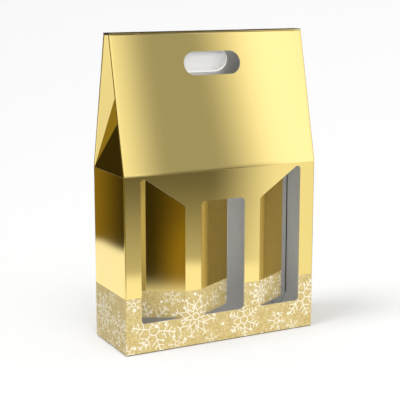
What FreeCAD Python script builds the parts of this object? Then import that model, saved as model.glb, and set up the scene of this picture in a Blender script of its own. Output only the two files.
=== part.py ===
import FreeCAD, Part
import math
import os

V = FreeCAD.Vector

# A gift carton that carries three bottles, folded from one creased sheet of fluted card.
# Millimetres. X runs along the width, the front faces -Y and Z is up.
# The origin is the middle of the base.

# Body and roof, outside sizes
WIDTH = 255.0
DEPTH = 90.0
SHOULDER_HEIGHT = 210.0     # floor to the crease where the roof starts
ROOF_RISE = 158.0           # shoulder crease to the top edge of the roof panels
RIDGE_WIDTH = 17.0          # the gap between the roof panels that the ridge lid bridges
BOARD = 1.5                 # thickness of the fluted card
CORNER_RADIUS = 1.8         # outside of the upright corner creases
FOLD_GAP = 0.3              # air between two layers that are folded flat on each other
FOLD_RADIUS = 1.0           # outside edges of a crease that is folded flat

# Windows in the front wall, each with its flap pushed inwards as a bottle divider
OUTER_POST = 20.5           # wall left at each end of the front
INNER_POST = 20.8           # wall left between two windows
MIDDLE_WINDOW_WIDTH = 59.0
SILL_HEIGHT = 36.0
MIDDLE_WINDOW_TOP = 174.5
OUTER_WINDOW_LOW_TOP = 171.5    # height of the slanted top edge at the inner post
OUTER_WINDOW_HIGH_TOP = 210.5   # height that the slanted edge would reach at the outer post
MIDDLE_CORNER_RADIUS = 6.0
OUTER_CORNER_RADIUS = 4.3
DIVIDER_ANGLE = 30.0        # degrees that a window flap is pushed in from the wall

# Hand hole through both roof panels, and the flap that stays on the back panel
HAND_HOLE_WIDTH = 75.0
HAND_HOLE_HEIGHT = 28.0
HAND_HOLE_DROP = 36.0       # top edge of the panel to the middle of the hole, along the slope
HAND_FLAP_CLEARANCE = 0.4   # cut line round the flap
HAND_FLAP_ANGLE = 8.0       # degrees that the flap stands out behind the back panel

# Ridge lid and its tuck flap
LID_CLEARANCE = 0.3         # lid above the top edges of the roof panels
EDGE_RADIUS = 1.2           # outside of a single crease on the lid and the base
TUCK_LENGTH = 16.0
TUCK_END_GAP = 4.0          # each end of the tuck flap to the gusset
TUCK_CLEARANCE = 0.5        # tuck flap to the inside of the front panel
TUCK_HINGE_GAP = 0.15       # hinge line to the underside of the lid
TUCK_TOP_GAP = 0.5          # hinge line to the top edge of the tuck flap
TUCK_CORNER_RADIUS = 6.0

# Base flaps and glue flap
BASE_SEAM = 20.0            # where the outer base flaps meet, measured back from the middle
BASE_SEAM_GAP = 0.5
DUST_FLAP_LENGTH = 55.0
DUST_FLAP_SIDE_GAP = 1.0
DUST_FLAP_CORNER_RADIUS = 12.0
GLUE_FLAP_WIDTH = 29.5
GLUE_FLAP_END_GAP = 4.0     # its lower end above the base, and its upper end below the shoulder
GLUE_FLAP_CHAMFER_ACROSS = 16.0
GLUE_FLAP_CHAMFER_UP = 22.0
SIDE_SEAM_GAP = 0.3         # open joint down the back right corner

# Worked out from the sizes above
HALF_WIDTH = WIDTH / 2
HALF_DEPTH = DEPTH / 2
ROOF_LEAN = (DEPTH - RIDGE_WIDTH) / 2
LEAN_ANGLE = math.atan2(ROOF_LEAN, ROOF_RISE)
ROOF_LENGTH = math.hypot(ROOF_LEAN, ROOF_RISE)
TOP_HEIGHT = SHOULDER_HEIGHT + ROOF_RISE
DOUBLE_BOARD = 2 * BOARD + FOLD_GAP
HAND_HOLE_MIDDLE = ROOF_LENGTH - HAND_HOLE_DROP
OUTER_WINDOW_WIDTH = (WIDTH - MIDDLE_WINDOW_WIDTH) / 2 - OUTER_POST - INNER_POST
OVERLAP = 5.0               # how far cutting shapes run past what they cut


def corner_arc(before, corner, after, radius):
    """Start, middle and end of the arc that rounds one corner of an outline."""
    back = (before - corner).normalize()
    ahead = (after - corner).normalize()
    half_angle = back.getAngle(ahead) / 2
    inward = (back + ahead).normalize()
    centre = corner + inward * (radius / math.sin(half_angle))
    reach = radius / math.tan(half_angle)
    return corner + back * reach, centre - inward * radius, corner + ahead * reach


def rounded_face(corners, radii):
    """Flat face through the corners, each rounded by its own radius, 0 for a sharp one."""
    count = len(corners)
    turns = []
    for i, (corner, radius) in enumerate(zip(corners, radii)):
        if radius > 0:
            turns.append(corner_arc(corners[i - 1], corner, corners[(i + 1) % count], radius))
        else:
            turns.append((corner, None, corner))
    edges = []
    for i, (start, middle, end) in enumerate(turns):
        if middle is not None:
            edges.append(Part.Arc(start, middle, end).toShape())
        following = turns[(i + 1) % count][0]
        if following.distanceToPoint(end) > 1e-6:
            edges.append(Part.makeLine(end, following))
    return Part.Face(Part.Wire(edges))


def block(low, high):
    """Box between two opposite corners."""
    return Part.makeBox(high.x - low.x, high.y - low.y, high.z - low.z, low)


def front_outline(points, radii, y=0.0):
    """Face in an upright plane across the depth, from (x, z) points."""
    return rounded_face([V(x, y, z) for x, z in points], radii)


def lean(shape):
    """Leans an upright panel drawn at the origin back onto the front roof slope."""
    leaning = shape.copy()
    leaning.rotate(V(0, 0, 0), V(1, 0, 0), -math.degrees(LEAN_ANGLE))
    leaning.translate(V(0, -HALF_DEPTH, SHOULDER_HEIGHT))
    return leaning


def to_back(shape):
    """The same shape on the back slope."""
    return shape.mirror(V(0, 0, 0), V(0, 1, 0))


def hip_space(inset_y, inset_x):
    """Space under the roof, set in from the leaning panels and from the leaning gusset faces."""
    low = SHOULDER_HEIGHT - OVERLAP
    high = TOP_HEIGHT + OVERLAP
    spread = math.tan(LEAN_ANGLE)
    profiles = []
    for half, inset in ((HALF_DEPTH, inset_y), (HALF_WIDTH, inset_x)):
        set_in = half - inset / math.cos(LEAN_ANGLE)
        profiles.append((set_in + OVERLAP * spread, set_in - (ROOF_RISE + OVERLAP) * spread))
    (y_low, y_high), (x_low, x_high) = profiles
    across = rounded_face([V(-WIDTH, -y_low, low), V(-WIDTH, y_low, low),
                           V(-WIDTH, y_high, high), V(-WIDTH, -y_high, high)], [0] * 4)
    along = rounded_face([V(-x_low, -DEPTH, low), V(x_low, -DEPTH, low),
                          V(x_high, -DEPTH, high), V(-x_high, -DEPTH, high)], [0] * 4)
    return across.extrude(V(2 * WIDTH, 0, 0)).common(along.extrude(V(0, 2 * DEPTH, 0)))


def above_shoulder(shape):
    """The part of a roof panel above the shoulder crease."""
    return shape.common(block(V(-WIDTH, -DEPTH, SHOULDER_HEIGHT), V(WIDTH, DEPTH, 2 * TOP_HEIGHT)))


def walls():
    """Four walls as one ring. The back right corner is the glued joint, with an open seam."""
    corners = [V(-HALF_WIDTH, -HALF_DEPTH, BOARD), V(HALF_WIDTH, -HALF_DEPTH, BOARD),
               V(HALF_WIDTH, HALF_DEPTH, BOARD), V(-HALF_WIDTH, HALF_DEPTH, BOARD)]
    outside = rounded_face(corners, [CORNER_RADIUS, CORNER_RADIUS, 0, CORNER_RADIUS])
    ring = outside.extrude(V(0, 0, SHOULDER_HEIGHT - BOARD))
    inside = block(V(-HALF_WIDTH + BOARD, -HALF_DEPTH + BOARD, 0),
                   V(HALF_WIDTH - BOARD, HALF_DEPTH - BOARD, TOP_HEIGHT))
    seam = block(V(HALF_WIDTH - BOARD - SIDE_SEAM_GAP, HALF_DEPTH - BOARD, 0),
                 V(HALF_WIDTH - BOARD, HALF_DEPTH + OVERLAP, TOP_HEIGHT))
    return ring.cut(inside).cut(seam)


def base_flaps():
    """Two outer flaps with rounded creases, on two dust flaps glued inside them."""
    half_length = HALF_WIDTH - CORNER_RADIUS
    flaps = []
    for side, reach in ((-1, BASE_SEAM - BASE_SEAM_GAP / 2), (1, BASE_SEAM + BASE_SEAM_GAP / 2)):
        profile = [V(-half_length, side * HALF_DEPTH, 0), V(-half_length, reach, 0),
                   V(-half_length, reach, BOARD), V(-half_length, side * HALF_DEPTH, BOARD)]
        section = rounded_face(profile, [EDGE_RADIUS, 0, 0, 0])
        flaps.append(section.extrude(V(2 * half_length, 0, 0)))
    flap_half = HALF_DEPTH - BOARD - DUST_FLAP_SIDE_GAP
    for side in (-1, 1):
        wall_x = side * (HALF_WIDTH - BOARD / 2)
        end_x = side * (HALF_WIDTH - BOARD - DUST_FLAP_LENGTH)
        outline = rounded_face([V(wall_x, -flap_half, BOARD), V(end_x, -flap_half, BOARD),
                                V(end_x, flap_half, BOARD), V(wall_x, flap_half, BOARD)],
                               [0, DUST_FLAP_CORNER_RADIUS, DUST_FLAP_CORNER_RADIUS, 0])
        flaps.append(outline.extrude(V(0, 0, BOARD)))
    return flaps


def glue_flap():
    """Flap on the back wall's free edge, glued to the inside of the right wall."""
    back_y = HALF_DEPTH - BOARD
    front_y = back_y - GLUE_FLAP_WIDTH
    step_y = front_y + GLUE_FLAP_CHAMFER_ACROSS
    low = 2 * BOARD + GLUE_FLAP_END_GAP
    high = SHOULDER_HEIGHT - GLUE_FLAP_END_GAP
    x = HALF_WIDTH - 2 * BOARD
    corners = [V(x, back_y, low), V(x, step_y, low), V(x, front_y, low + GLUE_FLAP_CHAMFER_UP),
               V(x, front_y, high - GLUE_FLAP_CHAMFER_UP), V(x, step_y, high), V(x, back_y, high)]
    return rounded_face(corners, [0] * 6).extrude(V(BOARD, 0, 0))


def middle_window():
    """Outline, corner radii and hinge line of the middle window."""
    half = MIDDLE_WINDOW_WIDTH / 2
    points = [(-half, SILL_HEIGHT), (half, SILL_HEIGHT),
              (half, MIDDLE_WINDOW_TOP), (-half, MIDDLE_WINDOW_TOP)]
    return points, [MIDDLE_CORNER_RADIUS] * 4, -half, 1


def outer_window(side):
    """Outline, corner radii and hinge line of an outer window, side -1 for left and 1 for right."""
    inner = MIDDLE_WINDOW_WIDTH / 2 + INNER_POST
    outer = inner + OUTER_WINDOW_WIDTH
    points = [(side * inner, SILL_HEIGHT), (side * outer, SILL_HEIGHT),
              (side * outer, OUTER_WINDOW_HIGH_TOP), (side * inner, OUTER_WINDOW_LOW_TOP)]
    return points, [OUTER_CORNER_RADIUS] * 4, side * inner, side


def window_and_divider(points, radii, hinge_x, side):
    """The cut through the front wall, and the same piece of card pushed in about its crease."""
    card = front_outline(points, radii, -HALF_DEPTH).extrude(V(0, BOARD, 0))
    cut = front_outline(points, radii, -HALF_DEPTH - OVERLAP).extrude(V(0, BOARD + 2 * OVERLAP, 0))
    divider = card.copy()
    divider.rotate(V(hinge_x, -HALF_DEPTH, 0), V(0, 0, 1), side * DIVIDER_ANGLE)
    return cut, divider


def stadium(half_width, half_height, middle, y, depth):
    """Upright slab with round ends, for the hand hole and its flap."""
    points = [(-half_width, middle - half_height), (half_width, middle - half_height),
              (half_width, middle + half_height), (-half_width, middle + half_height)]
    return front_outline(points, [half_height] * 4, y).extrude(V(0, depth, 0))


def roof_panel(glued_end):
    """Upright double board with a fold at each end, slotted between its layers, with the hand hole.

    The back panel's right end is glued, not folded: it is square and has no slot.
    """
    low = -OVERLAP
    end_radius = 0 if glued_end else FOLD_RADIUS
    corners = [V(-HALF_WIDTH, 0, low), V(HALF_WIDTH, 0, low),
               V(HALF_WIDTH, DOUBLE_BOARD, low), V(-HALF_WIDTH, DOUBLE_BOARD, low)]
    section = rounded_face(corners, [FOLD_RADIUS, end_radius, end_radius, FOLD_RADIUS])
    panel = section.extrude(V(0, 0, ROOF_LENGTH + OVERLAP))
    slot_end = 0 if glued_end else HALF_WIDTH - BOARD
    slot = block(V(-HALF_WIDTH + BOARD, BOARD, 2 * low), V(slot_end, BOARD + FOLD_GAP, 2 * ROOF_LENGTH))
    hole = stadium(HAND_HOLE_WIDTH / 2, HAND_HOLE_HEIGHT / 2, HAND_HOLE_MIDDLE, -OVERLAP, 3 * OVERLAP)
    return panel.cut(slot).cut(hole)


def gusset_face(side):
    """Leaning end face between the two folded wings, from the side wall's shoulder crease up."""
    face = rounded_face([V(0, -HALF_DEPTH, -OVERLAP), V(0, HALF_DEPTH, -OVERLAP),
                         V(0, HALF_DEPTH, ROOF_LENGTH), V(0, -HALF_DEPTH, ROOF_LENGTH)], [0] * 4)
    plate = face.extrude(V(BOARD, 0, 0))
    plate.rotate(V(0, 0, 0), V(0, 1, 0), math.degrees(LEAN_ANGLE))
    plate.translate(V(-HALF_WIDTH, 0, SHOULDER_HEIGHT))
    plate = plate.common(hip_space(BOARD + FOLD_GAP, 0))
    return plate if side < 0 else plate.mirror(V(0, 0, 0), V(1, 0, 0))


def roof():
    """Front and back panels with their wings, joined by the gusset faces at both ends."""
    inside = hip_space(BOARD, BOARD)
    front = above_shoulder(lean(roof_panel(False))).cut(inside)
    back = above_shoulder(to_back(lean(roof_panel(True)))).cut(inside)
    return [front, back] + [above_shoulder(gusset_face(side)) for side in (-1, 1)]


def carton():
    """The whole folded sheet as one solid."""
    shell = walls()
    dividers = []
    for window in (middle_window(), outer_window(-1), outer_window(1)):
        cut, divider = window_and_divider(*window)
        shell = shell.cut(cut)
        dividers.append(divider)
    return shell.multiFuse(base_flaps() + [glue_flap()] + dividers + roof()).removeSplitter()


def ridge_lid():
    """Strip that bridges the roof panels, hinged at the back panel's top edge."""
    low = TOP_HEIGHT + LID_CLEARANCE
    half = RIDGE_WIDTH / 2
    section = rounded_face([V(-HALF_WIDTH, -half, low), V(-HALF_WIDTH, half, low),
                            V(-HALF_WIDTH, half, low + BOARD), V(-HALF_WIDTH, -half, low + BOARD)],
                           [0, 0, EDGE_RADIUS, EDGE_RADIUS])
    return section.extrude(V(WIDTH, 0, 0))


def tuck_hinge():
    """Hinge line of the tuck flap: the top of its inner face, just under the lid."""
    z = TOP_HEIGHT + LID_CLEARANCE - TUCK_HINGE_GAP
    inner_face = (2 * BOARD + TUCK_CLEARANCE) / math.cos(LEAN_ANGLE)
    y = -RIDGE_WIDTH / 2 + inner_face + (z - TOP_HEIGHT) * math.tan(LEAN_ANGLE)
    return V(0, y, z)


def tuck_flap():
    """Flap that hangs from the lid behind the front panel, parallel to it."""
    half = HALF_WIDTH - ROOF_LEAN - TUCK_END_GAP
    low = -TUCK_TOP_GAP - TUCK_LENGTH
    points = [(-half, low), (half, low), (half, -TUCK_TOP_GAP), (-half, -TUCK_TOP_GAP)]
    radii = [TUCK_CORNER_RADIUS, TUCK_CORNER_RADIUS, 0, 0]
    flap = front_outline(points, radii, -BOARD).extrude(V(0, BOARD, 0))
    flap.rotate(V(0, 0, 0), V(1, 0, 0), -math.degrees(LEAN_ANGLE))
    flap.translate(tuck_hinge())
    return flap


def hand_flap():
    """Flap left on the back panel's hand hole, standing out behind it from its top crease."""
    half_width = HAND_HOLE_WIDTH / 2 - HAND_FLAP_CLEARANCE
    half_height = HAND_HOLE_HEIGHT / 2 - HAND_FLAP_CLEARANCE
    flap = stadium(half_width, half_height, HAND_HOLE_MIDDLE, 0, BOARD)
    hinge = V(0, 0, HAND_HOLE_MIDDLE + half_height)
    flap.rotate(hinge, V(1, 0, 0), -HAND_FLAP_ANGLE)
    return to_back(lean(flap))


def save(name, shape):
    """Writes one piece and prints what it holds."""
    shape.exportStep("parts/" + name + ".step")
    solids = len(shape.Solids)
    box = shape.BoundBox
    print(f"{name}: {solids} solid, valid {shape.isValid()}, volume {shape.Volume:.0f}, "
          f"x {box.XMin:.2f} {box.XMax:.2f}, "
          f"y {box.YMin:.2f} {box.YMax:.2f}, z {box.ZMin:.2f} {box.ZMax:.2f}")


os.makedirs("parts", exist_ok=True)
save("carton", carton())
save("ridge_lid", ridge_lid())
save("tuck_flap", tuck_flap())
save("hand_flap", hand_flap())
hinge = tuck_hinge()
print(f"tuck hinge y {hinge.y:.3f} z {hinge.z:.3f}")
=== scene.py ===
import math

import bpy
import numpy as np
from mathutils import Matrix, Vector


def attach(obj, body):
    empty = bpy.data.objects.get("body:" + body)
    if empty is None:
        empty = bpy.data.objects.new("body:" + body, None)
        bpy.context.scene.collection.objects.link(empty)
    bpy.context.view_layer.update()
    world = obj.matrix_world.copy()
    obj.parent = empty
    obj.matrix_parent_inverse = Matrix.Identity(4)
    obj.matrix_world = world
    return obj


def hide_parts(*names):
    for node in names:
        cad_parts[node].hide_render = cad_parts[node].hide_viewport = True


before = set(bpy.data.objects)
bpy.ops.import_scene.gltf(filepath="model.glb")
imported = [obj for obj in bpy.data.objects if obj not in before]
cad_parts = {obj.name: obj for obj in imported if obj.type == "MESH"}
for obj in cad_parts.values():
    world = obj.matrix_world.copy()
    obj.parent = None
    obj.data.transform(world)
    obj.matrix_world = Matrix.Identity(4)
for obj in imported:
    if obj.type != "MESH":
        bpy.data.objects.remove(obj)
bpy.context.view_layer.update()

# A gift carton for three bottles, folded from one sheet of fluted card. Its outside is laminated with glossy
# gold foil and printed with a snowflake band, and its inside is the card's plain grey-white liner.
# Sizes are in millimetres, as the carton's maker would state them, and MM turns them to metres.
MM = 0.001
WIDTH, DEPTH, SHOULDER_HEIGHT = 255.0, 90.0, 210.0
ROOF_RISE, RIDGE_WIDTH, BOARD, FOLD_GAP = 158.0, 17.0, 1.5, 0.3
CORNER_RADIUS = 1.8
MIDDLE_WINDOW_WIDTH, INNER_POST, DIVIDER_ANGLE = 59.0, 20.8, 30.0
HAND_FLAP_ANGLE = 8.0
BAND_HEIGHT = 68.5

HALF_WIDTH, HALF_DEPTH, HALF_WINDOW = WIDTH / 2, DEPTH / 2, MIDDLE_WINDOW_WIDTH / 2
DOUBLE_BOARD = 2 * BOARD + FOLD_GAP
HINGES = -HALF_WINDOW - INNER_POST, -HALF_WINDOW, HALF_WINDOW + INNER_POST
ROOF_RUN = (DEPTH - RIDGE_WIDTH) / 2
LEAN_ANGLE = math.atan2(ROOF_RUN, ROOF_RISE)
LEAN_COS, LEAN_SIN = math.cos(LEAN_ANGLE), math.sin(LEAN_ANGLE)
FLAP_COS, FLAP_SIN = math.cos(math.radians(DIVIDER_ANGLE)), math.sin(math.radians(DIVIDER_ANGLE))
# Height of the ridge on the unfolded sheet.
ROOF_END = SHOULDER_HEIGHT + math.hypot(ROOF_RUN, ROOF_RISE)


def linear(code):
    """sRGB hex colour to the linear colour that the shaders take."""
    parts = [int(code[i:i + 2], 16) / 255 for i in (1, 3, 5)]
    return tuple(p / 12.92 if p <= 0.04045 else ((p + 0.055) / 1.055) ** 2.4 for p in parts) + (1.0,)


def add(tree, kind, *inputs, out=0, **settings):
    """Adds one node, or a Math node for an operation in capitals. Inputs are numbers or outputs of other
    nodes, in the order of its sockets or named in a dictionary. Returns the output that is asked for."""
    node = tree.nodes.new("ShaderNode" + ("Math" if kind.isupper() else kind))
    if kind.isupper():
        node.operation = kind
    for name, value in settings.items():
        setattr(node, name, value)
    pairs = list(zip(node.inputs, inputs))
    if inputs and isinstance(inputs[0], dict):
        pairs = [(node.inputs[name], value) for name, value in inputs[0].items()]
    for socket, value in pairs:
        if isinstance(value, bpy.types.NodeSocket):
            tree.links.new(value, socket)
        elif value is not None:
            socket.default_value = value
    return node.outputs[out] if node.outputs else node


def new_material(name):
    """An empty node material, and its tree."""
    material = bpy.data.materials.new(name)
    material.use_nodes = True
    material.node_tree.nodes.clear()
    return material, material.node_tree


def between(tree, value, low, high):
    """1 where the value lies between the two limits."""
    return add(tree, "MULTIPLY", add(tree, "GREATER_THAN", value, low), add(tree, "LESS_THAN", value, high))


def all_of(tree, *masks):
    """The product of all the masks, so 1 only where each of them is 1."""
    result = masks[0]
    for mask in masks[1:]:
        result = add(tree, "MULTIPLY", result, mask)
    return result


def layered(tree, colour, *layers):
    """A colour with others laid over it in turn, each where its own mask is 1."""
    for mask, over in layers:
        colour = add(tree, "Mix", {0: mask, 6: colour, 7: over}, data_type="RGBA", out=2)
    return colour


# The printed snowflakes. They are common six- and eight-armed ornaments in a layout of their own, in units of
# their radius. A point is folded into one arm: along is its distance down the arm and across its distance
# aside. A twig leaves its arm at 60 degrees, so its foot lies back from a point by the tangent of 30 degrees.
TWIG_SLANT = 0.577


def arm_point(tree, radius, angle):
    """Distances down an arm and aside of it, of a point at this radius and angle from the arm."""
    along = add(tree, "MULTIPLY", radius, add(tree, "COSINE", angle))
    across = add(tree, "MULTIPLY", radius, add(tree, "SINE", angle))
    return along, add(tree, "ABSOLUTE", across)


def twigs(tree, along, across, line, spacing, start, end, longest):
    """Twigs that leave an arm in even steps and get shorter towards its tip."""
    foot = add(tree, "MULTIPLY_ADD", across, -TWIG_SLANT, along)
    twig = add(tree, "LESS_THAN", add(tree, "PINGPONG", foot, spacing / 2), line)
    reach = add(tree, "MULTIPLY_ADD", foot, -0.8 * longest, longest)
    short = add(tree, "LESS_THAN", across, reach)
    return all_of(tree, twig, short, between(tree, foot, start, end))


def fern_arms(tree, along, across, line, spacing):
    """A stem with twigs on both sides."""
    stem = all_of(tree, add(tree, "LESS_THAN", across, line), between(tree, along, 0.26, 1.0))
    return [stem, twigs(tree, along, across, line, spacing, start=0.38, end=0.92, longest=0.46)]


def petal_arms(tree, along, across, line, along_between, across_between):
    """An open diamond with a forked tip, and a short bare stem between each two."""
    middle, half_length, half_width, rim_width = 0.52, 0.28, 0.15, 6.5
    span = add(tree, "ABSOLUTE", add(tree, "SUBTRACT", along, middle))
    diamond = add(tree, "ADD", add(tree, "MULTIPLY", span, 1 / half_length),
                  add(tree, "MULTIPLY", across, 1 / half_width))
    rim = add(tree, "ABSOLUTE", add(tree, "SUBTRACT", diamond, 1.0))
    outline = add(tree, "LESS_THAN", rim, add(tree, "MULTIPLY", line, rim_width))
    tip = all_of(tree, add(tree, "LESS_THAN", across, line), between(tree, along, 0.8, 1.0))
    fork = twigs(tree, along, across, line, spacing=0.29, start=0.8, end=0.98, longest=0.6)
    stem = all_of(tree, add(tree, "LESS_THAN", across_between, line), between(tree, along_between, 0.4, 0.75))
    return [outline, tip, fork, stem]


def snowflake(name, arms, ring_radius, twig_spacing=None):
    """Group that gives 1 on the ink lines of a snowflake of radius 1: a ring, and fern arms where a spacing
    of twigs is given, or else petal arms."""
    tree = bpy.data.node_groups.new(name, "ShaderNodeTree")
    tree.interface.new_socket("Point", in_out="INPUT", socket_type="NodeSocketVector")
    tree.interface.new_socket("Line", in_out="INPUT", socket_type="NodeSocketFloat")
    tree.interface.new_socket("Ink", in_out="OUTPUT", socket_type="NodeSocketFloat")
    given = tree.nodes.new("NodeGroupInput")
    point, line = given.outputs["Point"], given.outputs["Line"]
    x, y = (add(tree, "SeparateXYZ", point, out=i) for i in (0, 1))
    radius = add(tree, "VectorMath", point, operation="LENGTH", out=1)
    turns = add(tree, "MULTIPLY", add(tree, "ARCTAN2", y, x), arms / math.tau)
    aside = add(tree, "ABSOLUTE", add(tree, "SUBTRACT", add(tree, "FRACT", turns), 0.5))
    angle = add(tree, "MULTIPLY", aside, math.tau / arms)
    along, across = arm_point(tree, radius, angle)
    if twig_spacing:
        parts = fern_arms(tree, along, across, line, twig_spacing)
    else:
        halfway = add(tree, "SUBTRACT", math.pi / arms, angle)
        parts = petal_arms(tree, along, across, line, *arm_point(tree, radius, halfway))
    ring = add(tree, "ABSOLUTE", add(tree, "SUBTRACT", radius, ring_radius))
    ink = add(tree, "LESS_THAN", ring, line)
    for part in parts:
        ink = add(tree, "MAXIMUM", ink, part)
    result = tree.nodes.new("NodeGroupOutput")
    tree.links.new(ink, result.inputs["Ink"])
    return tree


FERN = snowflake("fern_snowflake", 6, ring_radius=0.22, twig_spacing=0.22)
PETAL = snowflake("petal_snowflake", 8, ring_radius=0.16)
SMALL = snowflake("small_snowflake", 6, ring_radius=0.22, twig_spacing=0.3)
# Along the unfolded sheet from the front left corner, height, radius, form, turn in degrees and strength of
# the ink. The left wall lies at -90 to 0 and the front wall at 0 to 255. The print repeats every 345.
FLAKES = (
    (36, 27, 29, FERN, 18, 1), (91, 36, 27, PETAL, 8, 1), (157, 22, 22, FERN, 4, 1),
    (181, 52, 17, PETAL, 14, 1), (238, 40, 26, FERN, 22, 1), (-64, 36, 25, PETAL, 10, 1),
    (-20, 28, 22, FERN, 0, 1), (128, 50, 11, SMALL, 31, 0.8), (66, 6, 12, SMALL, 33, 0.8),
    (112, 3, 10, SMALL, 0, 0.7), (203, 14, 13, SMALL, 20, 0.9), (10, 61, 10, SMALL, 0, 0.8),
    (62, 61, 11, SMALL, 0, 0.7), (207, 60, 10, SMALL, 12, 0.8), (226, 3, 10, SMALL, 10, 0.8),
    (-44, 4, 11, SMALL, 25, 0.7), (-84, 8, 10, SMALL, 5, 0.7), (-38, 62, 10, SMALL, 12, 0.7),
    (150, 62, 10, SMALL, 5, 0.7), (2, 4, 11, SMALL, 10, 0.9),
)
# A flake's lines are half a millimetre to each side of their middle, and a little more on a large flake.
HALF_LINE, LINE_GROWTH = 0.5, 0.005
# Dots of 2 to 4 mm lie between the snowflakes, one to a cell of 13 mm at most. The glitter's grains are 1 mm,
# coarser than real ones so that they show, and they gather in clouds of 9 mm. Their sparkle is painted in as
# lighter tan grains, a painted glint.
DOT_CELL, GRAIN, CLOUD = 13.0, 1.0, 9.0
# The band is painted darker below this height: a painted contact shade along the bottom fold.
BOTTOM_SHADE_HEIGHT = 1.1


def printed_band(tree, u, v):
    """Colour of the band: matt tan ink with fine glitter whose sparkle is painted in as lighter grains, cream
    snowflakes and dots, and a painted shade along the bottom fold where the carton stands on the floor."""
    wrapped = add(tree, "CombineXYZ", add(tree, "WRAP", u, WIDTH, -DEPTH), v, 0.0)
    cell = add(tree, "TexVoronoi", {"Vector": wrapped, "Scale": 1 / DOT_CELL}, voronoi_dimensions="2D").node
    size = add(tree, "MapRange", {"Value": add(tree, "SeparateColor", cell.outputs["Color"]),
                                  "From Min": 0.4, "From Max": 0.8, "To Min": 0.0, "To Max": 0.15})
    ink = add(tree, "LESS_THAN", cell.outputs["Distance"], size)
    for at, height, radius, form, turn, strength in FLAKES:
        point = add(tree, "Mapping", wrapped, (at, height, 0), (0, 0, math.radians(turn)),
                    (radius, radius, 1), vector_type="TEXTURE")
        line = HALF_LINE / radius + LINE_GROWTH
        drawn = add(tree, "Group", {"Point": point, "Line": line}, node_tree=form)
        ink = add(tree, "MAXIMUM", ink, add(tree, "MULTIPLY", drawn, strength))
    grain = add(tree, "TexVoronoi", {"Vector": wrapped, "Scale": 1 / GRAIN}, voronoi_dimensions="2D", out=1)
    cloud = add(tree, "TexNoise", {"Vector": wrapped, "Scale": 1 / CLOUD, "Detail": 3.0})
    # Painted glint: lighter grains of tan stand for the glitter's sparkle.
    glitter_and_painted_sparkle = add(tree, "SeparateColor", grain)
    glitter_and_painted_sparkle = add(tree, "MULTIPLY_ADD", add(tree, "SUBTRACT", cloud, 0.5), 1.2, glitter_and_painted_sparkle)
    # Painted shade: the lowest strip of the band is darkened where the carton meets the floor.
    bottom_shade = add(tree, "LESS_THAN", v, BOTTOM_SHADE_HEIGHT)
    return layered(tree, linear("#CAB068"), (glitter_and_painted_sparkle, linear("#EAD79C")), (ink, linear("#FFF8E2")),
                   (bottom_shade, linear("#6E6038")))


# The sheet bends gently towards its creases: the reach of a bend, and its depth per square of the distance.
SHOULDER_BEND, RIDGE_BEND, CORNER_BEND, FLAP_BEND = (6.0, 0.005), (1.1, 0.08), (2.5, 0.016), (22.0, 0.0009)
# Film pulled over paper has a faint orange peel.
PEEL_SIZE, PEEL_DEPTH = 5.0, 0.0015
# The crease of a window flap is this much rougher than the rest of the foil.
FLAP_CREASE_ROUGHNESS = 0.4
# The wing is shaded as if it sprang open: its foil's shading turns towards the end of the carton by the angle
# with this tangent.
WING_SLOPE = 0.55


def bend(tree, height, near, depth):
    """Lowers a height by the square of how near a crease is."""
    return add(tree, "MULTIPLY_ADD", add(tree, "MULTIPLY", near, near), -depth * MM, height)


def nearness(tree, away, reach, *masks):
    """Distance left to the end of a bend's reach, on the side of the crease where the masks are 1 too."""
    near = add(tree, "MAXIMUM", add(tree, "SUBTRACT", reach, away), 0.0)
    return all_of(tree, near, add(tree, "GREATER_THAN", away, 0.0), *masks)


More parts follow.
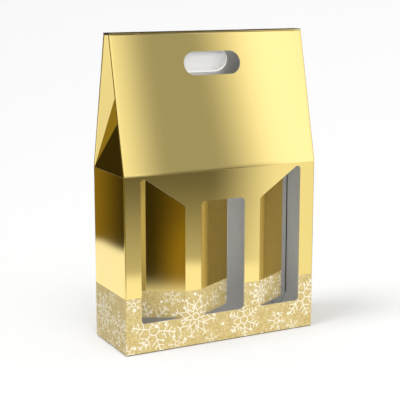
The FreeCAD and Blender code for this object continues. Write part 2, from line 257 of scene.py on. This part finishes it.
def foil_card(name, printed=False, sprung=False):
    """Board with gold foil film laminated on: a mirror-bright metal that blurs what it reflects only
    slightly, with softly rounded creases. The printed band is matt ink over the foil."""
    material, tree = new_material(name)
    sheet = add(tree, "UVMap", uv_map="sheet")
    u, v = (add(tree, "SeparateXYZ", sheet, out=i) for i in (0, 1))
    place = add(tree, "TexCoord", out="Object")
    peel = add(tree, "TexNoise", {"Vector": place, "Scale": 1 / (PEEL_SIZE * MM), "Detail": 2.0})
    colour = linear("#FAE290")
    rough = add(tree, "MapRange", {"Value": peel, "To Min": 0.035, "To Max": 0.05})
    height = add(tree, "MULTIPLY", peel, PEEL_DEPTH * MM)
    for value, crease, side, (reach, depth) in (
            (v, SHOULDER_HEIGHT, 1, SHOULDER_BEND), (v, ROOF_END, -1, RIDGE_BEND), (u, 0.0, 1, CORNER_BEND),
            (u, WIDTH, -1, CORNER_BEND), (u, WIDTH + DEPTH, 1, CORNER_BEND), (u, -DEPTH, -1, CORNER_BEND)):
        away = add(tree, "MULTIPLY", add(tree, "SUBTRACT", value, crease), side)
        height = bend(tree, height, nearness(tree, away, reach), depth)
    if printed:
        # Only the window flaps lie deeper than the front wall's face.
        deep = add(tree, "GREATER_THAN", add(tree, "SeparateXYZ", place, out=1), (0.5 - HALF_DEPTH) * MM)
        in_front = add(tree, "LESS_THAN", u, WIDTH)
        # The middle and right window flaps bow towards their crease, where the stretched film is duller.
        reach, depth = FLAP_BEND
        for hinge in HINGES[1:]:
            near = nearness(tree, add(tree, "SUBTRACT", u, hinge + HALF_WIDTH), reach, deep, in_front)
            height = bend(tree, height, near, depth)
            rough = add(tree, "MULTIPLY_ADD", near, FLAP_CREASE_ROUGHNESS / reach, rough)
        # These two flaps get a deeper gold painted in, a painted reflection of the foil that they mirror.
        right_of_first = add(tree, "GREATER_THAN", u, HINGES[1] + HALF_WIDTH)
        colour = layered(tree, colour, (all_of(tree, deep, right_of_first, in_front), linear("#FAD56E")))
    if sprung:
        outward = add(tree, "ABSOLUTE", add(tree, "SeparateXYZ", place))
        height = add(tree, "MULTIPLY_ADD", outward, -WING_SLOPE, height)
    normal = add(tree, "Bump", {"Height": height, "Strength": 1.0, "Distance": 1.0})
    shader = {"Base Color": colour, "Metallic": 1.0, "Roughness": rough, "Normal": normal}
    if printed:
        band = add(tree, "LESS_THAN", v, BAND_HEIGHT)
        shader["Base Color"] = layered(tree, colour, (band, printed_band(tree, u, v)))
        shader["Metallic"] = add(tree, "MapRange", {"Value": band, "To Min": 1.0, "To Max": 0.2})
        shader["Roughness"] = add(tree, "Mix", {0: band, 2: rough, 3: 0.5}, data_type="FLOAT")
    add(tree, "OutputMaterial", add(tree, "BsdfPrincipled", shader))
    return material


def raw_board():
    """Uncoated grey-white liner inside: matt paper with short mottled fibres."""
    mottle_size, fibre_size, fibre_depth = 6.0, 0.8, 0.1
    material, tree = new_material("uncoated_grey_white_liner")
    place = add(tree, "TexCoord", out="Object")
    mottle = add(tree, "TexNoise", {"Vector": place, "Scale": 1 / (mottle_size * MM), "Detail": 4.0})
    fibre = add(tree, "TexNoise", {"Vector": place, "Scale": 1 / (fibre_size * MM), "Detail": 2.0})
    tone = add(tree, "MULTIPLY", add(tree, "ADD", mottle, fibre), 0.5)
    spread = add(tree, "MapRange", {"Value": tone, "From Min": 0.3, "From Max": 0.7})
    colour = layered(tree, linear("#E9E9E9"), (spread, linear("#F4F4F4")))
    normal = add(tree, "Bump", {"Height": fibre, "Strength": 0.3, "Distance": fibre_depth * MM})
    shader = {"Base Color": colour, "Roughness": 0.85, "Normal": normal}
    add(tree, "OutputMaterial", add(tree, "BsdfPrincipled", shader))
    return material


def cut_edge(name, paper, flute):
    """Die-cut edge of the fluted card: matt paper, with painted shade in the flutes' hollows."""
    flute_spacing = 3.2
    material, tree = new_material(name)
    place = add(tree, "TexCoord", out="Object")
    x, z = (add(tree, "SeparateXYZ", place, out=i) for i in (0, 2))
    wave = add(tree, "SINE", add(tree, "MULTIPLY", add(tree, "ADD", x, z), math.tau / (flute_spacing * MM)))
    # The flutes' hollows are painted darker, as the shade inside them.
    shaded_hollow = add(tree, "MapRange", {"Value": wave, "From Min": -1.0, "From Max": 1.0})
    shader = {"Base Color": layered(tree, linear(paper), (shaded_hollow, linear(flute))), "Roughness": 0.8}
    add(tree, "OutputMaterial", add(tree, "BsdfPrincipled", shader))
    return material


PLAIN_FOIL = foil_card("glossy_gold_foil_film")
PRINTED_FOIL = foil_card("gold_foil_with_printed_snowflake_band", printed=True)
WING_FOIL = foil_card("glossy_gold_foil_film_sprung_open", sprung=True)
LINER = raw_board()
EDGE = cut_edge("die_cut_fluted_edge", "#E9DFC4", "#D3C8AC")
# The glue flap's free edge, the panels' top edges and the lid's ends wear a dark painted shade, standing for
# the shadow in the gaps beside and under them.
SHADED_CUT_EDGE = cut_edge("cut_edge_in_painted_shade", "#38342F", "#1E1B19")
FINISHES = [PLAIN_FOIL, PRINTED_FOIL, WING_FOIL, LINER, EDGE, SHADED_CUT_EDGE]

# How each wall's part of the unfolded sheet runs: direction, and what is added to the distance along it.
FRONT, RIGHT = ((1, 0, 0), HALF_WIDTH), ((0, 1, 0), WIDTH + HALF_DEPTH)
BACK, LEFT = ((-1, 0, 0), -DEPTH - HALF_WIDTH), ((0, -1, 0), -HALF_DEPTH)
UP = (0, 0, 1), 0.0


def slope(nx, ny, run, finish):
    """A leaning face that meets the wall with outward normal (nx, ny) at the shoulder."""
    half = HALF_WIDTH if nx else HALF_DEPTH
    normal = (nx * LEAN_COS, ny * LEAN_COS, LEAN_SIN)
    rise = (-nx * LEAN_SIN, -ny * LEAN_SIN, LEAN_COS)
    start = -half * LEAN_SIN + SHOULDER_HEIGHT * LEAN_COS
    return normal, half * LEAN_COS + SHOULDER_HEIGHT * LEAN_SIN, run, (rise, SHOULDER_HEIGHT - start), finish


def turned_in(hinge, side):
    """The printed face of a window flap that is turned in about the hinge line at x = hinge."""
    normal = (side * FLAP_SIN, -FLAP_COS, 0)
    run = (FLAP_COS, side * FLAP_SIN, 0)
    away = normal[0] * hinge - normal[1] * HALF_DEPTH
    return normal, away, (run, hinge + HALF_WIDTH - (run[0] * hinge - run[1] * HALF_DEPTH)), UP, PRINTED_FOIL


def back_of(face):
    """The foil of a wing that lies folded behind a roof panel and faces the inside."""
    normal, away, run, rise, finish = face
    return tuple(-n for n in normal), DOUBLE_BOARD - away, run, rise, finish


# The printed faces of the sheet: outward normal, distance from the origin, how the unfolded sheet's two
# coordinates run over it, and the finish.
FACES = [
    ((0, -1, 0), HALF_DEPTH, FRONT, UP, PRINTED_FOIL),
    ((1, 0, 0), HALF_WIDTH, RIGHT, UP, PRINTED_FOIL),
    ((0, 1, 0), HALF_DEPTH, BACK, UP, PRINTED_FOIL),
    ((-1, 0, 0), HALF_WIDTH, LEFT, UP, PRINTED_FOIL),
    ((0, 0, -1), 0.0, FRONT, ((0, -1, 0), -HALF_DEPTH), PRINTED_FOIL),
    slope(0, -1, FRONT, PLAIN_FOIL), slope(0, 1, BACK, PLAIN_FOIL),
    slope(1, 0, RIGHT, PLAIN_FOIL), slope(-1, 0, LEFT, PLAIN_FOIL),
    turned_in(HINGES[0], -1), turned_in(HINGES[1], 1), turned_in(HINGES[2], 1),
    back_of(slope(0, -1, FRONT, WING_FOIL)), back_of(slope(0, 1, BACK, WING_FOIL)),
]

PIECES = bpy.data.collections.new("carton_pieces")


def dressed(node, name, body, classify):
    """A copy of the node's mesh with its doubles merged, whose faces wear foil, liner or cut edge, with a map
    of the unfolded sheet in millimetres."""
    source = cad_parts[node].data
    place = np.empty(len(source.vertices) * 3, np.float32)
    source.vertices.foreach_get("co", place)
    place = place.reshape(-1, 3)
    source.calc_loop_triangles()
    corners = np.empty(len(source.loop_triangles) * 3, np.int32)
    source.loop_triangles.foreach_get("vertices", corners)
    # Corners that lie within a micrometre of each other are one.
    _, first, index = np.unique(np.round(place * 1e6), axis=0, return_index=True, return_inverse=True)
    points = place[first]
    faces = index.reshape(-1)[corners].reshape(-1, 3)
    faces = faces[(faces != np.roll(faces, 1, axis=1)).all(axis=1)]
    mesh = bpy.data.meshes.new(name)
    mesh.from_pydata(points, [], faces)
    at = points[faces].astype(float) / MM
    normals = np.cross(at[:, 1] - at[:, 0], at[:, 2] - at[:, 0])
    normals /= np.maximum(np.linalg.norm(normals, axis=1), 1e-12)[:, None]
    finish, sheet = classify(at, normals)
    for material in FINISHES:
        mesh.materials.append(material)
    mesh.polygons.foreach_set("material_index", finish.astype(np.int32))
    layer = mesh.uv_layers.new(name="sheet")
    layer.data.foreach_set("uv", sheet.astype(np.float32).reshape(-1))
    mesh.update()
    piece = bpy.data.objects.new(name, mesh)
    bpy.context.scene.collection.objects.link(piece)
    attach(piece, body)
    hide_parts(node)
    PIECES.objects.link(piece)
    return piece


# A face counts as turned one way from the first cosine on, and as square to it from the second or third.
FACING, SQUARE, EXACTLY_SQUARE = 0.3, 0.9, 0.98
# How far a face may lie from where a foil face or a liner face is.
ON_FACE, ON_LINER = 0.05, 0.2
# The glue flap's free edge lies nearer the front than this, and the ridge's cut edges within this of the top.
FREE_EDGE_BEFORE, RIDGE_DEPTH = 40.0, 2.0


def sheet_faces(at, normals):
    """Foil where a face lies on a printed face of the sheet or on a rounded corner beside one, liner where it
    lies one or two boards inside it, and cut edge elsewhere."""
    liner, edge, shaded_cut_edge = (FINISHES.index(material) for material in (LINER, EDGE, SHADED_CUT_EDGE))
    centre = at.mean(axis=1)
    finish = np.full(len(at), edge)
    sheet = np.stack([at[..., 0], at[..., 2]], axis=-1)
    best = np.full(len(at), FACING)
    for normal, away, (run, run_from), (rise, rise_from), material in FACES:
        facing = normals @ np.array(normal)
        depth = away - centre @ np.array(normal)
        within = (depth > BOARD - ON_LINER) & (depth < DOUBLE_BOARD + ON_LINER)
        finish[(facing < -EXACTLY_SQUARE) & within & (finish == edge)] = liner
        on_face = (depth > -ON_FACE) & (depth < CORNER_RADIUS * (1 - facing) + ON_FACE)
        outside = (facing > best) & on_face
        best[outside] = facing[outside]
        finish[outside] = FINISHES.index(material)
        sheet[outside, :, 0] = at[outside] @ np.array(run) + run_from
        sheet[outside, :, 1] = at[outside] @ np.array(rise) + rise_from
    base = (normals[:, 2] > SQUARE) & (centre[:, 2] < 2 * BOARD + 0.1)
    finish[base] = liner
    beside_right_wall = np.abs(centre[:, 0] - HALF_WIDTH + 2 * BOARD) < BOARD + ON_FACE
    glue_flap = beside_right_wall & (centre[:, 1] > 0) & (normals[:, 0] < FACING)
    finish[glue_flap] = liner
    # Painted shade: the glue flap's free edge and the ridge's cut edges get the dark cut edge.
    finish[glue_flap & (normals[:, 1] < -SQUARE) & (centre[:, 1] < FREE_EDGE_BEFORE)] = shaded_cut_edge
    finish[(finish == edge) & (centre[:, 2] > SHOULDER_HEIGHT + ROOF_RISE - RIDGE_DEPTH)] = shaded_cut_edge
    return finish, sheet


def flap_faces(outward, is_lid):
    """Foil on the outward side of a flat flap, liner on the other and cut edge between. A lid's long sides
    are creases and keep their foil. The flap's map lies past the walls' part of the sheet, clear of their
    creases."""
    foil, liner = FINISHES.index(PLAIN_FOIL), FINISHES.index(LINER)
    # A lid's cut ends get the dark cut edge, a painted shade.
    rim = FINISHES.index(SHADED_CUT_EDGE if is_lid else EDGE)

    def classify(at, normals):
        facing = normals @ np.array(outward)
        finish = np.where(facing > FACING, foil, np.where(facing < -FACING, liner, rim))
        if is_lid:
            finish[(np.abs(normals[:, 1]) > FACING) & (facing > -FACING)] = foil
        sheet = np.stack([at[..., 0] + 2 * WIDTH, at[..., 2] + SHOULDER_HEIGHT], axis=-1)
        return finish, sheet
    return classify


hand_lean = LEAN_ANGLE - math.radians(HAND_FLAP_ANGLE)
hand_outward = (0, math.cos(hand_lean), math.sin(hand_lean))
dressed("carton", "folded_carton", "carton", sheet_faces)
dressed("ridge_lid", "creased_ridge_lid", "lid", flap_faces((0, 0, 1), True))
dressed("tuck_flap", "tuck_flap_card", "tuck", flap_faces((0, -LEAN_COS, LEAN_SIN), False))
hand_flap = dressed("hand_flap", "hand_hole_flap", "hand_flap", flap_faces(hand_outward, False))


def studio_floor():
    """A wide sheet of matt white paper, just under the carton. The foil mirrors the studio instead of it."""
    reach, height = 40.0, -0.1 * MM
    corners = [(-reach, -reach), (reach, -reach), (reach, reach), (-reach, reach)]
    mesh = bpy.data.meshes.new("studio_floor")
    mesh.from_pydata([(x, y, height) for x, y in corners], [], [(0, 1, 2, 3)])
    floor = bpy.data.objects.new("studio_floor", mesh)
    bpy.context.scene.collection.objects.link(floor)
    material, tree = new_material("matt_white_floor_paper")
    add(tree, "OutputMaterial", add(tree, "BsdfDiffuse", linear("#FFFFFF"), 1.0))
    mesh.materials.append(material)
    floor.visible_glossy = False


# The studio that the foil mirrors, by its direction from the carton in degrees. A turn runs from the front
# towards the right, and a lift from the horizon upwards. A stretch begins between its first two numbers and
# ends between its last two.
IN_FRONT, ON_LEFT = (-24, -10, 60, 90), (-70, -50, -22, -5)
AT_LEFT_WALL, BEHIND_RIGHT, AT_GUSSET = (-174, -162, -150, -145), (140, 146, 158, 164), (-112, -100, -80, -66)
OPENING, HOT_SPOT, LOW_RIGHT = (28, 32.5, 50, 88), (30.5, 33.2, 33.4, 37), (31.2, 33, 50, 60)
GLOW_LOW_LEFT, GLOW_BEHIND_LEFT = (-35.2, -32.8, -22, -12), (-174, -160, -158.6, -156.2)
# Where the photograph shows nothing of the studio, its edges are soft and its belt is lighter.
SOFT_BEHIND = (164, 176)
SOFT_STRETCHES = (50, 75, 134, 142), (-22, -8, 2, 14), (-66, -58, -46, -40), (-144, -137, -121, -113)
# The floor ends 14 to 16 degrees below the horizon, with an uneven far edge that moves up or down in places.
FLOOR_END, FLOOR_BLUR = -13.8, 0.25
UNEVEN_FLOOR_END = (((-5, 12, 24, 26.8), -0.7), ((-176, -164), 0.35), ((-158.2, -156.2), -0.7),
                    ((-156.2, -150), 0.35))
# The belt is fully dark up to here and gone a little higher.
BELT_TOP, BELT_TOP_BLUR = 6.5, 4.0
# The flag leans, fades out at its two sides and lets some light through.
FLAG_LEAN, FLAG_LEFT, FLAG_RIGHT, FLAG_DARKNESS = -0.06, (22.7, 25.6), (32.15, 28.75), 0.64
# The lights of its parts, as linear colours of which 1 is white.
GREY_BELT, GREY_BELT_FOOT = (0.14, 0.13, 0.10, 1), (0.55, 0.53, 0.47, 1)
BROWN_BELT, BROWN_BELT_GLOW = (0.035, 0.026, 0.006, 1), (0.28, 0.185, 0.02, 1)
GUSSET_BELT, SOFT_BELT = (0.29, 0.26, 0.09, 1), (0.24, 0.205, 0.11, 1)
STUDIO_WHITE, HOT_WHITE = (1.05, 1.05, 1.05, 1), (1.26, 1.26, 1.42, 1)
LOW_RIGHT_WHITE, FLAG_BLACK, CEILING = (0.95, 0.945, 0.89, 1), (0.0, 0.0, 0.0, 1), (0.07, 0.065, 0.05, 1)
FLOOR_CLOSE_BY, SOFT_FLOOR_CLOSE_BY = (0.87, 0.86, 0.87, 1), (0.55, 0.55, 0.56, 1)
# What matt surfaces get by way of the foil, whose gold makes it neutral, and what they get straight: a level
# all round and more from above and below.
BY_WAY_OF_FOIL, EVEN_ALL_ROUND, EVEN_UPRIGHT = (0.5, 0.66, 1.5, 1), 0.255, 0.81


def soft_mask(tree, value, start, full, fading=None, end=None):
    """1 past a soft edge that runs from the start to where it is full. With four numbers it fades out again
    between the last two. A lone edge looks the other way where its second number is the lower."""
    edges = [(start, full)] if end is None else [(start, full), (end, fading)]
    masks = [add(tree, "MapRange", value, *edge, interpolation_type="SMOOTHSTEP") for edge in edges]
    return all_of(tree, *masks)


def dark_belt(tree, turn, lift, soft, in_front):
    """1 between the floor's far edge and the upper light, all round but for the opening."""
    on_left, opening = soft_mask(tree, turn, *ON_LEFT), soft_mask(tree, turn, *OPENING)
    floor_end = FLOOR_END
    for part, shift in ((in_front, -0.95), (on_left, -2.3), (soft, -2.4)):
        floor_end = add(tree, "MULTIPLY_ADD", part, shift, floor_end)
    for stretch, shift in UNEVEN_FLOOR_END:
        floor_end = add(tree, "MULTIPLY_ADD", soft_mask(tree, turn, *stretch), shift, floor_end)
    blur = FLOOR_BLUR
    for part, more in ((on_left, 0.45), (soft, 3.2)):
        blur = add(tree, "MULTIPLY_ADD", part, more, blur)
    full_to = BELT_TOP
    for stretch, more in ((AT_LEFT_WALL, 12.0), (BEHIND_RIGHT, 9.0)):
        full_to = add(tree, "MULTIPLY_ADD", soft_mask(tree, turn, *stretch), more, full_to)
    gone_at = add(tree, "MULTIPLY_ADD", soft, 9.0, add(tree, "ADD", full_to, BELT_TOP_BLUR))
    below, above = add(tree, "SUBTRACT", floor_end, blur), add(tree, "ADD", floor_end, blur)
    return all_of(tree, soft_mask(tree, lift, below, above), soft_mask(tree, lift, gone_at, full_to),
                  add(tree, "SUBTRACT", 1.0, opening))


def belt_colour(tree, turn, lift, soft, in_front):
    """Grey and lighter downwards in front, and brown elsewhere with a glow at three places."""
    grey = layered(tree, GREY_BELT, (soft_mask(tree, lift, -9.5, -16), GREY_BELT_FOOT))
    downwards = add(tree, "MULTIPLY_ADD", soft_mask(tree, lift, -11.5, -14.8), 0.8, 0.6)
    low_left = all_of(tree, soft_mask(tree, turn, *GLOW_LOW_LEFT), downwards)
    glow = add(tree, "MAXIMUM", low_left, soft_mask(tree, turn, *GLOW_BEHIND_LEFT))
    at_gusset = soft_mask(tree, turn, *AT_GUSSET)
    return layered(tree, BROWN_BELT, (glow, BROWN_BELT_GLOW), (at_gusset, GUSSET_BELT), (soft, SOFT_BELT),
                   (in_front, grey))


def lit_studio(tree, turn, lift, soft):
    """White, hotter beside the opening's edge, with a narrow dark flag that leans, a dark ceiling and a floor
    that is a little darker close by."""
    slanted = add(tree, "MULTIPLY_ADD", lift, FLAG_LEAN, turn)
    flag_foot = add(tree, "MULTIPLY_ADD", soft_mask(tree, turn, 24.2, 26.8), -9.0, 9.0)
    flag = all_of(tree, soft_mask(tree, slanted, *FLAG_LEFT), soft_mask(tree, turn, *FLAG_RIGHT),
                  soft_mask(tree, lift, flag_foot, add(tree, "ADD", flag_foot, 3.0)), FLAG_DARKNESS)
    hot = all_of(tree, soft_mask(tree, turn, *HOT_SPOT), soft_mask(tree, lift, 4, 9))
    low_right = all_of(tree, soft_mask(tree, turn, *LOW_RIGHT), soft_mask(tree, lift, 2, -3))
    overhead, close_by = soft_mask(tree, lift, 22, 34), soft_mask(tree, lift, -17, -32)
    soft_close_by = all_of(tree, soft, soft_mask(tree, lift, -16, -40))
    return layered(tree, STUDIO_WHITE, (hot, HOT_WHITE), (low_right, LOW_RIGHT_WHITE), (flag, FLAG_BLACK),
                   (overhead, CEILING), (close_by, FLOOR_CLOSE_BY), (soft_close_by, SOFT_FLOOR_CLOSE_BY))


def studio_world():
    """White where the camera looks and even light for matt surfaces. Shiny surfaces reflect a white studio
    with a dark belt round the horizon, a lit opening to the right of the front and a narrow dark flag beside
    it."""
    world = bpy.data.worlds.new("studio")
    bpy.context.scene.world = world
    world.use_nodes = True
    tree = world.node_tree
    tree.nodes.clear()
    x, y, z = (add(tree, "SeparateXYZ", add(tree, "TexCoord", out="Generated"), out=i) for i in range(3))
    turn = add(tree, "ARCTAN2", x, add(tree, "MULTIPLY", y, -1.0))
    turn = add(tree, "MULTIPLY", turn, 180 / math.pi)
    lift = add(tree, "MULTIPLY", add(tree, "ARCSINE", z), 180 / math.pi)
    soft = soft_mask(tree, add(tree, "ABSOLUTE", turn), *SOFT_BEHIND)
    for stretch in SOFT_STRETCHES:
        soft = add(tree, "MAXIMUM", soft, soft_mask(tree, turn, *stretch))
    in_front = soft_mask(tree, turn, *IN_FRONT)
    dark = dark_belt(tree, turn, lift, soft, in_front)
    by_way_of_matt = add(tree, "GREATER_THAN", add(tree, "LightPath", out="Diffuse Depth"), 0.5)
    belt = belt_colour(tree, turn, lift, soft, in_front)
    lit = lit_studio(tree, turn, lift, soft)
    mirrored = layered(tree, lit, (dark, belt), (by_way_of_matt, BY_WAY_OF_FOIL))
    even = add(tree, "MULTIPLY_ADD", add(tree, "MULTIPLY", z, z), EVEN_UPRIGHT, EVEN_ALL_ROUND)
    light = layered(tree, add(tree, "CombineXYZ", even, even, even),
                    (add(tree, "LightPath", out="Is Glossy Ray"), mirrored),
                    (add(tree, "LightPath", out="Is Camera Ray"), linear("#FFFFFF")))
    add(tree, "OutputWorld", add(tree, "Background", light, 1.0))


def soft_sun(name, turn, lift, strength, spread):
    """Broad even light from a direction, in the studio's degrees."""
    lamp = bpy.data.lights.new(name, "SUN")
    lamp.energy, lamp.angle = strength, math.radians(spread)
    sun = bpy.data.objects.new(name, lamp)
    bpy.context.scene.collection.objects.link(sun)
    turn, lift = math.radians(turn), math.radians(lift)
    source = Vector((math.sin(turn) * math.cos(lift), -math.cos(turn) * math.cos(lift), math.sin(lift)))
    sun.rotation_mode = "QUATERNION"
    sun.rotation_quaternion = source.to_track_quat("Z", "Y")
    sun.visible_glossy = False
    return sun


def glow_inside(name, place, size, energy, tint, facing, spread):
    """A dim upright panel of light within the carton, for the light that its walls pass on. It faces the
    front for -1 and the back for 1, and isn't seen itself."""
    lamp = bpy.data.lights.new(name, "AREA")
    lamp.shape, lamp.energy, lamp.color, lamp.spread = "RECTANGLE", energy, tint, math.radians(spread)
    lamp.size, lamp.size_y = (length * MM for length in size)
    panel = bpy.data.objects.new(name, lamp)
    bpy.context.scene.collection.objects.link(panel)
    panel.location, panel.rotation_euler = Vector(place) * MM, (facing * math.radians(90), 0, 0)
    panel.visible_glossy = panel.visible_camera = False
    panel.light_linking.receiver_collection = PIECES


def studio_lamps():
    """Two softboxes overhead for the floor's shadows, and lights that only the carton takes: low ones that
    reach through the windows and the hand hole to the white liner, and the glow inside."""
    soft_sun("left_softbox", turn=-88, lift=62, strength=0.8, spread=24)
    soft_sun("front_softbox", turn=-6, lift=62, strength=0.42, spread=30)
    fill = soft_sun("front_fill", turn=12, lift=14, strength=1.35, spread=40)
    fill.light_linking.receiver_collection = PIECES
    flap_light = soft_sun("hand_hole_light", turn=-24, lift=8, strength=1.35, spread=14)
    flap_light.light_linking.receiver_collection = bpy.data.collections.new("flap_light_receivers")
    flap_light.light_linking.receiver_collection.objects.link(hand_flap)
    glow_inside("glow_from_back_wall", place=(-75, 36, 140), size=(90, 120), energy=0.022,
                tint=(1.0, 0.8, 0.33), facing=-1, spread=100)
    glow_inside("glow_from_windows", place=(20, -12, 120), size=(80, 160), energy=0.0135,
                tint=(0.95, 0.97, 1.0), facing=1, spread=180)


# The camera stands to the left of the front, a little above. The photograph's frame and focal length are in
# its pixels, and so is its optical centre, counted from the left and from the top. The sensor's width and the
# camera's place are in millimetres, and its angles in degrees.
FRAME, FOCAL_LENGTH, CENTRE_ACROSS, CENTRE_DOWN = 400, 1090.113, 196.809, 191.55
SENSOR = 36.0
CAMERA_AZIMUTH, CAMERA_ELEVATION, CAMERA_DISTANCE = 27.414, 11.006, 1319.25
CAMERA_TARGET = Vector((-12.024, 0, 177.008))


def photo_camera():
    """Camera at the photograph's viewing angle."""
    azimuth, elevation = math.radians(CAMERA_AZIMUTH), math.radians(CAMERA_ELEVATION)
    level, drop = math.cos(elevation), math.sin(elevation)
    ahead = Vector((math.sin(azimuth) * level, math.cos(azimuth) * level, -drop))
    data = bpy.data.cameras.new("camera")
    data.sensor_width = SENSOR
    data.lens = FOCAL_LENGTH * SENSOR / FRAME
    data.shift_x, data.shift_y = 0.5 - CENTRE_ACROSS / FRAME, CENTRE_DOWN / FRAME - 0.5
    camera = bpy.data.objects.new("camera", data)
    bpy.context.scene.collection.objects.link(camera)
    camera.location = (CAMERA_TARGET - ahead * CAMERA_DISTANCE) * MM
    camera.rotation_mode = "QUATERNION"
    camera.rotation_quaternion = ahead.to_track_quat("-Z", "Y")
    bpy.context.scene.camera = camera


studio_floor()
studio_world()
studio_lamps()
photo_camera()
bpy.context.scene.view_settings.view_transform = "Standard"
